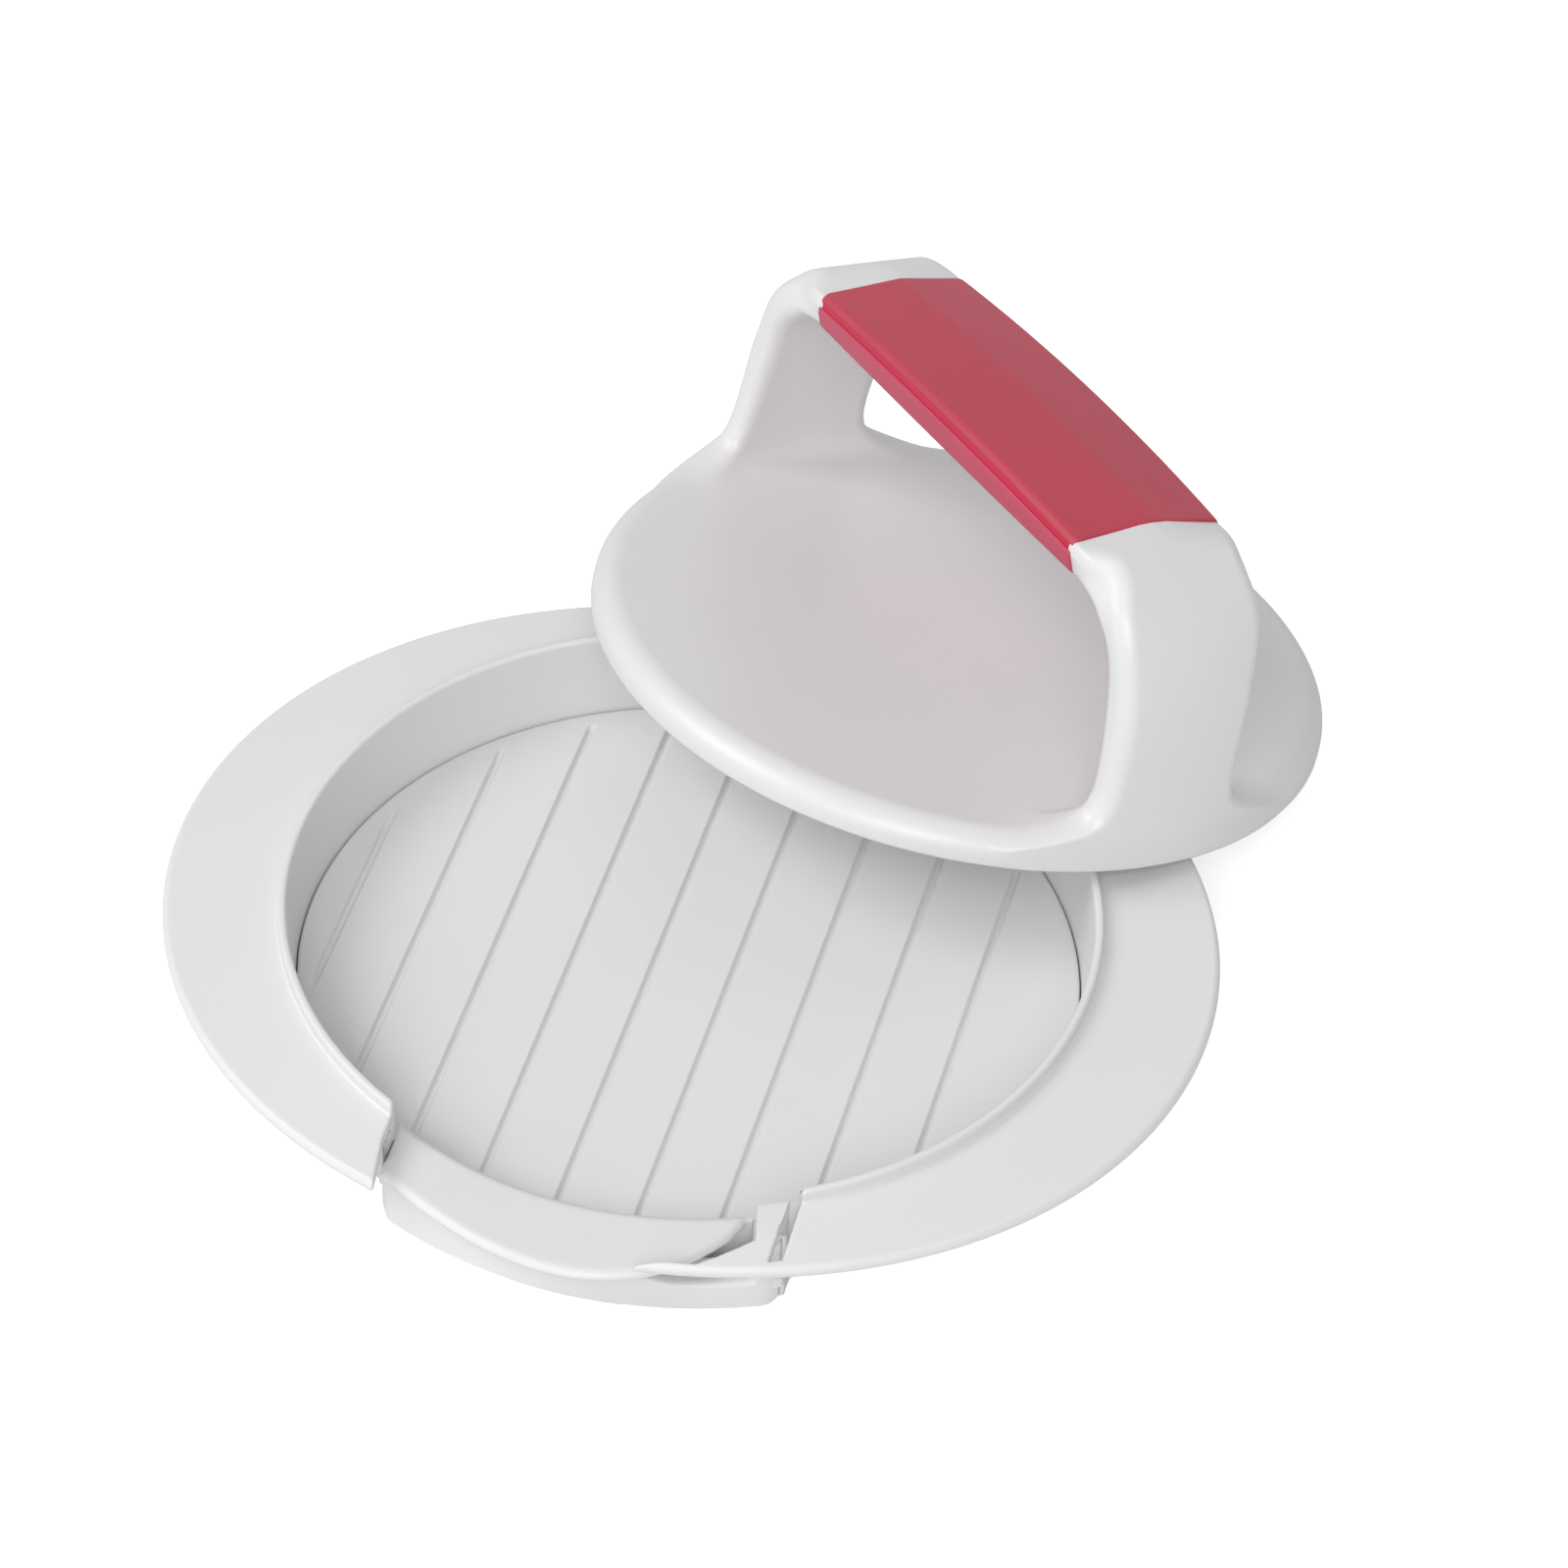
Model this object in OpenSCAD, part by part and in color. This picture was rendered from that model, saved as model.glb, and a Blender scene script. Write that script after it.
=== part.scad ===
// Burger press: an oval dish with a lift-out tray, and a hand press leaning on its rim.
// Origin: the cavity axis at table level. +X is the long way of the flange, -Y the front with the tab.

/* [Dish] */
// Inside radius of the cavity at its rim
cavity_r = 56; // [54:0.5:57]
// How much narrower the cavity is at its floor
cavity_draft = 1.1; // [0.5:0.1:1.2]
// Height of the rim above the table
rim_z = 16.2; // [15.8:0.1:17]
// Radius of the rounded bead on the rim
bead_r = 1.1; // [0.9:0.05:1.2]
// Thickness of the dish floor
dish_floor_t = 1; // [0.8:0.1:1.2]
// Mean radius of the oval flange
flange_r = 69.9; // [69:0.1:72]
// How much the flange is longer than that along X, and shorter along Y
flange_oval = 4.1; // [2:0.1:5]
// Drop from the rim to the flange beside the bead
flange_step = 1.8; // [1.4:0.1:2.2]
// Further drop from the bead to the outer edge of the flange
flange_fall = 1.5; // [0.5:0.1:2]
// Thickness of the flange
flange_t = 2; // [1.6:0.1:2.2]
// Outer radius of the apron below the tab
apron_r = 61.8; // [61:0.2:62.6]
// Half the width of that apron
apron_half_w = 28; // [27:0.5:30]

/* [Tray] */
// Running gap between the tray and the dish
tray_gap = 0.4; // [0.3:0.05:0.5]
// Thickness of the tray plate
tray_t = 2.1; // [1.8:0.1:2.4]
// Height of the tab's top above the table
tab_z = 9.8; // [9.4:0.1:10]
// Thickness of the tab
tab_t = 2; // [1.8:0.1:2.2]
// Left end of the tab
tab_left = -27.4; // [-27.6:0.1:-26]
// Right end of the tab at the cavity
tab_right = 22.5; // [21.5:0.1:22.8]
// How far the tab's front edge reaches from the cavity axis
tab_reach = 67; // [66:0.1:67.6]
// Distance from line to line of the tray
line_pitch = 11.1; // [10.6:0.1:11.4]
// Sideways place of the middle line
line_shift = -4.9; // [-5.4:0.1:-3]
// Width of each line
line_w = 0.9; // [0.6:0.1:1.2]
// Depth of each line
line_d = 0.65; // [0.3:0.05:0.8]

/* [Press disc] */
// Radius of the press disc
disc_r = 54.64; // [54:0.02:55]
// Height of its edge
disc_t = 5; // [4.8:0.1:5.6]
// Rounding of its top edge
disc_round = 4; // [2.5:0.1:4]
// Width of the skirt round the pressing plate
skirt_w = 2.2; // [1.8:0.1:2.6]
// Depth of the pressing face inside the skirt
plate_recess = 1.6; // [1.5:0.05:1.8]
// Thickness of the pressing plate
plate_t = 1.6; // [1.2:0.1:1.8]

/* [Handle] */
// Height of the grip's ridge above the skirt, at the ends of the grip
handle_z = 44.6; // [43:0.1:46]
// Half the outer span of the legs at the disc
leg_foot_x = 54; // [53:0.1:54]
// Half the outer span of the legs at mid height
leg_mid_x = 49.6; // [49:0.1:50.5]
// Half the clear span between the legs
leg_inner_x = 46; // [45.4:0.1:46.4]
// Height of the hand opening's upper edge
opening_z = 37; // [36:0.1:37.2]
// Half the width of the legs at mid height
leg_half_w = 14.2; // [13.6:0.1:15]
// How much wider each side of a leg gets at the disc
leg_flare = 14; // [8:0.5:16]

/* [Grip] */
// Half the length of the red grip
grip_half_l = 34; // [32:0.5:34]
// Half the width of the grip at its ends
grip_half_w = 13.4; // [13:0.1:13.6]
// How much wider each side of the grip is at mid span
grip_bulge = 1.05; // [0.2:0.05:1.2]
// Rise of the grip at mid span
grip_rise = 1.45; // [0.8:0.05:2]
// Wall thickness of the grip
grip_t = 1.8; // [1.4:0.1:2]

/* [Leaning press] */
// Tilt of the leaning press
lean_tilt = 13.18; // [13.1:0.01:13.3]
// Direction in which the press slopes down, from +X
lean_dir = 60.1; // [59:0.1:61]
// Sideways place of the press across that direction
lean_side = 13; // [11:0.5:14]
// Turn of the handle about the press axis
lean_turn = -105.3; // [-110:0.1:-100]
// Clearance between the leaning press and what it leans on
lean_gap = 0.3; // [0.25:0.05:0.5]

/* [Hidden] */
$fn = 144;

white = "#e2e2e2";
red = "#c23f57";
eps = 0.01;

// Dish
dish_floor_r = cavity_r - cavity_draft;
bead_mid_r = cavity_r + bead_r;
bead_mid_z = rim_z - bead_r;
wall_r = cavity_r + 2.5;
flange_in_z = rim_z - flange_step;
flange_out_z = flange_in_z - flange_fall;
flange_max_r = flange_r + flange_oval;
notch_left = -27.7;
notch_right = 27.7;
notch_floor_z = tab_z - tab_t - tray_gap;
notch_r = cavity_r + 0.5;
notch_web_t = 1.8;
apron_t = 1.9;
land_right = tab_right + tray_gap;
land_z = tab_z - 0.2;
strip_w = 3.8;
slot_w = 1.6;
slot_a = -64.6;
slot_out_r = flange_r + flange_oval * cos(2 * slot_a) - strip_w;
land_r = slot_out_r - slot_w;
side_y = -30;
front = -flange_r * 1.15;
span = 4 * flange_r;

// Tray
tray_r = dish_floor_r - tray_gap;
tray_top_z = dish_floor_t + tray_t;
upstand_in_r = tray_r - 0.1;
upstand_out_r = cavity_r + 0.2;
line_margin = 2.6;
line_count = 9;
tab_start_y = -56.4;
tab_steer_1 = [-18, -62.4];
tab_steer_2 = [-9, -tab_reach];
tab_steer_3 = [9, -tab_reach];
tab_steer_4 = [15.5, -60.5];
tab_end = [19.4, -53.4];
tab_end_y = -49.6;
wedge_gap = 1.2;
strip_start = [6, -tab_reach - wedge_gap];
strip_steer_1 = [13, -65.5];
strip_steer_2 = [19, -59.5];
strip_end = [land_right + 1.7 * wedge_gap, -52.9];

// Press, upright in its own frame with the skirt standing on z = 0
web_z = plate_recess + plate_t;
skirt_in_r = disc_r - skirt_w;
plate_gap = 0.15;
foot_sink = 1.2;
foot_inset = 0.2;
shoulder_x = 36;
shoulder_rise = 0.5;
leg_mid_z = 25;
leg_inner_top_z = 27;
flare_top_z = 13;
flare_power = 3.5;
seam_z = handle_z - 2.4;
grip_low_z = handle_z - 7.1;
roof_corner_z = handle_z - 1.6;
grip_corner_w = grip_half_w - 1.1;
core_gap = 0.1;
grip_arc_r = (pow(grip_half_l, 2) + pow(grip_rise, 2)) / (2 * grip_rise);

// Leaning pose: the skirt's lowest edge is on the table, the pressing face clears the rim
lean_z = disc_r * sin(lean_tilt) + 0.04;
lean_drop = (bead_mid_z - lean_z) * cos(lean_tilt) + bead_r + lean_gap - plate_recess;
lean_along = bead_mid_r + lean_drop / sin(lean_tilt);
lean_x = lean_along * cos(lean_dir) - lean_side * sin(lean_dir);
lean_y = lean_along * sin(lean_dir) + lean_side * cos(lean_dir);

// Points of a cubic curve through a and d, steered by b and c
function curve(a, b, c, d, n = 12) =
    [for (i = [0:n]) let (t = i / n, s = 1 - t)
        s * s * s * a + 3 * s * s * t * b + 3 * s * t * t * c + t * t * t * d];

// Radius of the flange's outline in direction a
function oval(a) = flange_r + flange_oval * cos(2 * a);

// Half width of a leg at height z
function leg_w(z) =
    z < flare_top_z ? leg_half_w + leg_flare * pow((flare_top_z - z) / (flare_top_z - disc_t), flare_power)
                    : leg_half_w;

// Front edge of the tab, from its left end to its right end
tab_front = concat(
    curve([tab_left, tab_start_y], tab_steer_1, tab_steer_2, [0, -tab_reach]),
    curve([0, -tab_reach], tab_steer_3, tab_steer_4, tab_end)
);

// Inner edge of the flange strip to the right of the tab
strip_edge = curve(strip_start, strip_steer_1, strip_steer_2, strip_end);

// ---------- Dish ----------

// Wall, floor and rim bead of the dish
module dish_body() {
    rotate_extrude()
        union() {
            polygon([
                [0, 0],
                [wall_r, 0],
                [wall_r, flange_in_z - flange_t],
                [bead_mid_r + bead_r, flange_in_z - flange_t / 2],
                [bead_mid_r + bead_r, bead_mid_z],
                [bead_mid_r - bead_r, bead_mid_z],
                [dish_floor_r, dish_floor_t],
                [0, dish_floor_t]
            ]);
            translate([bead_mid_r, bead_mid_z]) circle(r = bead_r, $fn = 48);
        }
}

// Oval flange, falling a little towards its edge
module flange() {
    intersection() {
        linear_extrude(rim_z)
            polygon([for (a = [0:3:357]) oval(a) * [cos(a), sin(a)]]);
        rotate_extrude()
            polygon([
                [bead_mid_r, flange_in_z - flange_t],
                [flange_max_r + 1, flange_out_z - flange_t],
                [flange_max_r + 1, flange_out_z],
                [bead_mid_r, flange_in_z]
            ]);
    }
}

// Ring sector between two radii, clipped to a range of x at the front
module front_sector(in_r, out_r, z, h, left, right) {
    intersection() {
        translate([0, 0, z])
            difference() {
                cylinder(r = out_r, h = h);
                translate([0, 0, -1]) cylinder(r = in_r, h = h + 2);
            }
        translate([left, front, z - 1]) cube([right - left, side_y - front, h + 2]);
    }
}

// Apron below the tab, open underneath, with the web that carries the tab
module apron() {
    front_sector(apron_r - apron_t, apron_r, 0, flange_out_z - flange_t / 2, -apron_half_w, apron_half_w);
    front_sector(notch_r, apron_r, notch_floor_z - notch_web_t, notch_web_t,
                 -apron_half_w, apron_half_w);
    for (x = [-apron_half_w, apron_half_w - apron_t])
        front_sector(wall_r - 1, apron_r, 0, flange_in_z - flange_t, x, x + apron_t);
}

// Space that the tab and its upstand come up through
module notch() {
    translate([0, 0, notch_floor_z])
        linear_extrude(rim_z)
            polygon(concat(
                [[notch_left, side_y], [notch_left, front], [strip_start[0], front]],
                strip_edge,
                [[land_right, tab_end_y], [land_right, side_y]]
            ));
    translate([0, 0, dish_floor_t])
        front_sector(0, notch_r, 0, rim_z, notch_left, land_right);
}

// Lowered land between the tab and the slot
module land_cut() {
    front_sector(0, land_r, land_z, rim_z, land_right - 0.5, notch_right);
}

// Slot beside the land
module slot() {
    front_sector(0, slot_out_r, notch_floor_z, rim_z, notch_right - eps, notch_right + slot_w);
}

module dish() {
    color(white)
        difference() {
            union() {
                dish_body();
                flange();
                apron();
            }
            notch();
            land_cut();
            slot();
        }
}

// ---------- Tray ----------

// Straight lines sunk into the top of a plate
module lines(r, top_z) {
    half = (line_count - 1) / 2;
    for (k = [-half:half]) {
        x = line_shift + k * line_pitch;
        y = sqrt(pow(r - line_margin, 2) - x * x);
        translate([x - line_w / 2, -y, top_z - line_d]) cube([line_w, 2 * y, line_d + 1]);
    }
}

module lift_tray() {
    color(white)
        union() {
            difference() {
                translate([0, 0, dish_floor_t]) cylinder(r = tray_r, h = tray_t);
                lines(tray_r, tray_top_z);
            }
            front_sector(upstand_in_r, upstand_out_r, dish_floor_t, tab_z - dish_floor_t, tab_left, tab_right);
            translate([0, 0, tab_z - tab_t])
                linear_extrude(tab_t)
                    difference() {
                        polygon(concat([[tab_left, side_y]], tab_front, [[tab_right, tab_end_y], [tab_right, side_y]]));
                        circle(r = upstand_in_r);
                    }
        }
}

// ---------- Press ----------

// Puts an upright press piece into its leaning place
module leaning() {
    translate([lean_x, lean_y, lean_z])
        rotate([0, lean_tilt, lean_dir])
            rotate([0, 0, lean_turn])
                children();
}

// Disc with its skirt, open below for the pressing plate
module disc() {
    rotate_extrude()
        difference() {
            union() {
                square([disc_r, disc_t - disc_round]);
                square([disc_r - disc_round, disc_t]);
                intersection() {
                    translate([disc_r - disc_round, disc_t - disc_round]) circle(r = disc_round, $fn = 72);
                    square([disc_r, disc_t]);
                }
            }
            translate([-1, -1]) square([skirt_in_r + 1, web_z + 1]);
        }
}

// Side view of one leg with its shoulder
leg_side = concat(
    [[leg_foot_x, disc_t - foot_sink]],
    curve([leg_foot_x, disc_t], [leg_foot_x - 1.6, 12], [leg_mid_x + 0.7, 18], [leg_mid_x, leg_mid_z]),
    curve([leg_mid_x - 0.1, leg_mid_z + 1], [leg_mid_x - 2.2, handle_z - 3.4],
          [leg_inner_x - 1, handle_z], [shoulder_x, handle_z + shoulder_rise]),
    [[grip_half_l, handle_z + shoulder_rise], [grip_half_l, opening_z]],
    curve([shoulder_x, opening_z], [leg_inner_x - 3, opening_z], [leg_inner_x, opening_z - 4],
          [leg_inner_x, leg_inner_top_z]),
    [[leg_inner_x, disc_t - foot_sink]]
);

// Front view of the legs: flared at the disc, rounded at the shoulder
leg_front_right = concat(
    [for (z = [disc_t - foot_sink:1:flare_top_z]) [leg_w(max(z, disc_t)), z]],
    curve([leg_half_w, handle_z - 8.6], [leg_half_w, handle_z - 3], [grip_corner_w + 1, handle_z - 1.2],
          [0, handle_z + shoulder_rise + eps])
);
leg_front = concat(leg_front_right, [for (i = [len(leg_front_right) - 2:-1:0])
    [-leg_front_right[i][0], leg_front_right[i][1]]]);

module legs() {
    intersection() {
        union() {
            for (side = [0, 1])
                mirror([side, 0, 0])
                    rotate([90, 0, 0]) linear_extrude(span, center = true) polygon(leg_side);
        }
        rotate([90, 0, 90]) linear_extrude(span, center = true) polygon(leg_front);
        cylinder(r = disc_r - foot_inset, h = span);
    }
}

// Bar of a given half section, bent so that it rises by grip_rise at mid span
module arched(section, half_l) {
    half_a = asin(half_l / grip_arc_r);
    translate([0, 0, handle_z + grip_rise - grip_arc_r])
        rotate([-90, 0, 0])
            rotate([0, 0, -90 - half_a])
                rotate_extrude(angle = 2 * half_a, $fn = 720)
                    polygon([for (p = section) [grip_arc_r + p[1] - handle_z, p[0]]]);
}

// Plan outline of the grip, widest at mid span
module grip_plan(half_l, extra) {
    side = [for (i = [-10:10]) let (x = half_l * i / 10)
        [x, grip_half_w + extra + grip_bulge * (1 - pow(x / grip_half_l, 2))]];
    linear_extrude(span, center = true)
        polygon(concat(side, [for (i = [20:-1:0]) [side[i][0], -side[i][1]]]));
}

core_w = grip_half_w - grip_t - core_gap;
core_low_z = grip_low_z + grip_t + core_gap;
core_top_z = seam_z - core_gap;

// White bar inside the grip
module core() {
    arched([[-core_w, core_low_z], [core_w, core_low_z], [core_w, core_top_z], [-core_w, core_top_z]],
           grip_half_l + 1.5);
}

module press_shell() {
    color(white)
        leaning()
            union() {
                disc();
                legs();
                core();
            }
}

module press_plate() {
    color(white)
        leaning()
            difference() {
                translate([0, 0, plate_recess]) cylinder(r = skirt_in_r - plate_gap, h = plate_t);
                mirror([0, 0, 1]) lines(skirt_in_r - plate_gap, -plate_recess);
            }
}

// Upper half of the grip, with a low roof ridge along it
module grip_cover() {
    w = grip_half_w + grip_bulge;
    color(red)
        leaning()
            intersection() {
                arched([
                    [-w, seam_z],
                    [w, seam_z],
                    [w - 0.6, roof_corner_z + 0.3],
                    [w - 1.7, roof_corner_z + 0.5],
                    [0, handle_z],
                    [-w + 1.7, roof_corner_z + 0.5],
                    [-w + 0.6, roof_corner_z + 0.3]
                ], grip_half_l - 0.05);
                grip_plan(grip_half_l, 0);
            }
}

// Lower half of the grip, a channel round the white bar
module grip_underside() {
    w = grip_half_w + grip_bulge;
    in_w = grip_half_w - grip_t;
    color(red)
        leaning()
            intersection() {
                arched([
                    [-w + 1.2, grip_low_z],
                    [w - 1.2, grip_low_z],
                    [w, seam_z - 1.5],
                    [w, seam_z],
                    [in_w, seam_z],
                    [in_w, grip_low_z + grip_t],
                    [-in_w, grip_low_z + grip_t],
                    [-in_w, seam_z],
                    [-w, seam_z],
                    [-w, seam_z - 1.5]
                ], grip_half_l - 0.05);
                grip_plan(grip_half_l, 0);
            }
}

dish();
lift_tray();
press_shell();
press_plate();
grip_cover();
grip_underside();
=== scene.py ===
import math

import bmesh
import bpy
import numpy as np
from mathutils import Matrix, Vector


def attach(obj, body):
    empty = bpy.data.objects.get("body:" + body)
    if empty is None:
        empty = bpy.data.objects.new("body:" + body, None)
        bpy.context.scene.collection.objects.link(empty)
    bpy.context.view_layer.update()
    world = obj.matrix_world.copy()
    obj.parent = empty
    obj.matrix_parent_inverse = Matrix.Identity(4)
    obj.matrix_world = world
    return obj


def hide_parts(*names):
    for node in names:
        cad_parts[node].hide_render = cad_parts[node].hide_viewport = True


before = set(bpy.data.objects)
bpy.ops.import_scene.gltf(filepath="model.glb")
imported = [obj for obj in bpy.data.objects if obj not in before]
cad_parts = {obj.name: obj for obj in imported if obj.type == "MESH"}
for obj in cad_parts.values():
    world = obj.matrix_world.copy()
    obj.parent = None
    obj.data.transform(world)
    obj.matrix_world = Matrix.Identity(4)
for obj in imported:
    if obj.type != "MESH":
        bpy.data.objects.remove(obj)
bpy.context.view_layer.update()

mm = 0.001  # every piece below is worked out in millimetres


def smoothMin(a, b, reach):
    # the smaller of two distances, rounded over where they come within reach of each other
    near = np.maximum(reach - np.abs(a - b), 0) / reach
    return np.minimum(a, b) - near * near * reach / 4


def smoothMax(a, b, reach):
    # the larger of two distances, filled in over the same reach
    return -smoothMin(-a, -b, reach)


def smoothStep(t):
    # rises from 0 to 1 as t does, flat at both ends: three t squared less two t cubed
    t = np.clip(t, 0, 1)
    return t * t * (3 - 2 * t)


def curvePoints(a, b, c, d, count=12):
    # cubic curve from a to d, steered by b and c
    t = np.linspace(0, 1, count + 1)[:, None]
    a, b, c, d = (np.asarray(p, float) for p in (a, b, c, d))
    return (1 - t) ** 3 * a + 3 * (1 - t) ** 2 * t * b + 3 * (1 - t) * t * t * c + t ** 3 * d


def smoothLine(points, count=14):
    # a curve through the points: each span is a cubic that leaves its ends along their neighbours
    p = np.asarray(points, float)
    p = np.concatenate([[2 * p[0] - p[1]], p, [2 * p[-1] - p[-2]]])
    t = np.linspace(0, 1, count, endpoint=False)[:, None]
    spans = []
    for a, b, c, d in zip(p[:-3], p[1:-2], p[2:-1], p[3:]):
        squared, cubed = 2 * a - 5 * b + 4 * c - d, 3 * b - a - 3 * c + d
        spans.append(0.5 * (2 * b + (c - a) * t + squared * t ** 2 + cubed * t ** 3))
    return np.concatenate([*spans, p[-2:-1]])


def outlineDistance(outline, x, y):
    # signed distance to a closed outline: nearest side, negative inside by the crossing rule
    nearest = np.full(np.shape(x), 1e9)
    inside = np.zeros(np.shape(x), bool)
    for (ax, ay), (bx, by) in zip(outline, np.roll(outline, -1, axis=0)):
        ex, ey = bx - ax, by - ay
        if ex == 0 and ey == 0:
            continue
        px, py = x - ax, y - ay
        t = np.clip((px * ex + py * ey) / (ex * ex + ey * ey), 0, 1)
        nearest = np.minimum(nearest, (px - t * ex) ** 2 + (py - t * ey) ** 2)
        if ey != 0:
            inside ^= ((ay > y) != (by > y)) & (x < ax + ex * (y - ay) / ey)
    return np.where(inside, -1, 1) * np.sqrt(nearest)


surfacing = {"newtonSteps": 5, "probe": 0.01, "longestMove": 0.4, "normalProbe": 0.04}  # lengths in mm


def slopeOf(field, points, step):
    # central differences of the field at the points
    slope = np.empty_like(points)
    for axis in range(3):
        ahead, behind = points.copy(), points.copy()
        ahead[:, axis] += step
        behind[:, axis] -= step
        slope[:, axis] = (field(*ahead.T) - field(*behind.T)) / (2 * step)
    return slope


def levelSurface(axes, place, field, closedTurn=False):
    # The surface where field(x, y, z) = 0, on a grid of three parameters that place() puts in
    # space. Each cell that it passes through gets one point, the mean of the crossings on its
    # edges, and each crossed edge gets the face of its four cells. Newton steps then carry the
    # points onto the surface, and the slope there gives their normals.
    grid = np.stack(place(*np.meshgrid(*axes, indexing="ij")), axis=-1)
    value = field(grid[..., 0], grid[..., 1], grid[..., 2])
    if closedTurn:
        grid = np.concatenate([grid, grid[:, :1]], axis=1)
        value = np.concatenate([value, value[:, :1]], axis=1)
    cells = np.array(value.shape) - 1
    total = np.zeros((*cells, 3))
    count = np.zeros(cells)
    edges = []
    for a in range(3):
        b, c = (a + 1) % 3, (a + 2) % 3
        low, high = [slice(None)] * 3, [slice(None)] * 3
        low[a], high[a] = slice(None, -1), slice(1, None)
        start, end = value[tuple(low)], value[tuple(high)]
        crossed = (start < 0) != (end < 0)
        share = np.where(crossed, start / np.where(crossed, start - end, 1), 0)[..., None]
        point = grid[tuple(low)] + share * (grid[tuple(high)] - grid[tuple(low)])
        point[~crossed] = 0
        for stepB in (0, 1):
            for stepC in (0, 1):
                pick = [slice(None)] * 3
                pick[b] = slice(stepB, stepB + cells[b])
                pick[c] = slice(stepC, stepC + cells[c])
                total += point[tuple(pick)]
                count += crossed[tuple(pick)]
        edges.append((a, b, c, crossed, start < 0))
    used = count > 0
    index = np.full(cells, -1)
    index[used] = np.arange(used.sum())
    points = total[used] / count[used][:, None]
    faces = []
    for a, b, c, crossed, solidFirst in edges:
        at = np.argwhere(crossed)
        for other in (b, c):
            if closedTurn and other == 1:
                at = at[at[:, 1] < cells[1]]
            else:
                at = at[(at[:, other] > 0) & (at[:, other] < cells[other])]
        ring = []
        for stepB, stepC in ((-1, -1), (0, -1), (0, 0), (-1, 0)):
            cell = at.copy()
            cell[:, b] += stepB
            cell[:, c] += stepC
            if closedTurn:
                cell[:, 1] %= cells[1]
            ring.append(index[tuple(cell.T)])
        ring = np.stack(ring, axis=1)
        outward = solidFirst[tuple(at.T)]
        faces.append(np.where(outward[:, None], ring, ring[:, ::-1]))
    faces = np.concatenate(faces)
    for _ in range(surfacing["newtonSteps"]):
        slope = slopeOf(field, points, surfacing["probe"])
        size = np.maximum((slope * slope).sum(axis=1), 1e-3)
        move = (field(*points.T) / size)[:, None] * slope
        far = np.linalg.norm(move, axis=1, keepdims=True)
        points -= move * np.minimum(1, surfacing["longestMove"] / np.maximum(far, 1e-9))
    normals = slopeOf(field, points, surfacing["normalProbe"])
    normals /= np.maximum(np.linalg.norm(normals, axis=1, keepdims=True), 1e-9)
    return points, faces, normals


def polarPlace(r, turn, z):
    # x is r times the cosine of the turn, y is r times its sine
    return r * np.cos(turn), r * np.sin(turn), z


def flatPlace(x, y, z):
    # the grid as it stands
    return x, y, z


def steps(*stops):
    # grid lines between stops: (end, spacing) pairs after the first value
    lines = [np.array([stops[0]])]
    for end, spacing in stops[1:]:
        start = lines[-1][-1]
        lines.append(np.linspace(start, end, max(2, round((end - start) / spacing) + 1))[1:])
    return np.concatenate(lines)


def loopFaces(count, around):
    # faces of four corners between neighbouring loops of points, the last point joined to the first
    i, j = np.meshgrid(np.arange(count - 1), np.arange(around), indexing="ij")
    k = (j + 1) % around
    corners = [i * around + j, (i + 1) * around + j, (i + 1) * around + k, i * around + k]
    return np.stack(corners, axis=-1).reshape(-1, 4)


def newPiece(name, points, faces, normals=None, move=None):
    # puts points in millimetres and faces of four corners into a mesh, turned and shifted by move;
    # open poles are closed
    if move is not None:
        turn, shift = move
        points = points @ turn.T + shift
        normals = None if normals is None else normals @ turn.T
    mesh = bpy.data.meshes.new(name)
    mesh.vertices.add(len(points))
    mesh.vertices.foreach_set("co", (points * mm).astype(np.float32).ravel())
    mesh.loops.add(faces.size)
    mesh.loops.foreach_set("vertex_index", faces.astype(np.int32).ravel())
    mesh.polygons.add(len(faces))
    mesh.polygons.foreach_set("loop_start", np.arange(0, faces.size, 4, dtype=np.int32))
    mesh.update(calc_edges=True)
    work = bmesh.new()
    work.from_mesh(mesh)
    rim = [edge for edge in work.edges if edge.is_boundary]
    if rim:
        bmesh.ops.holes_fill(work, edges=rim, sides=0)
    if normals is None:
        bmesh.ops.remove_doubles(work, verts=work.verts, dist=1e-7)
        bmesh.ops.recalc_face_normals(work, faces=work.faces)
    work.to_mesh(mesh)
    work.free()
    mesh.polygons.foreach_set("use_smooth", np.ones(len(mesh.polygons), bool))
    if normals is not None:
        mesh.normals_split_custom_set_from_vertices(normals)
    piece = bpy.data.objects.new(name, mesh)
    bpy.context.scene.collection.objects.link(piece)
    return piece


def finishPiece(piece, body, node, material):
    # material, body and the node that the piece stands for
    piece.data.materials.append(material)
    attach(piece, body)
    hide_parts(node)
    print("made", piece.name, len(piece.data.polygons), "faces")


plastic = {
    "mottleScale": 45, "mottleDetail": 3,
    "fineScale": 2600, "fineDetail": 2,
    "glossRange": 0.05, "bumpStrength": 0.25,
}


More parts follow.
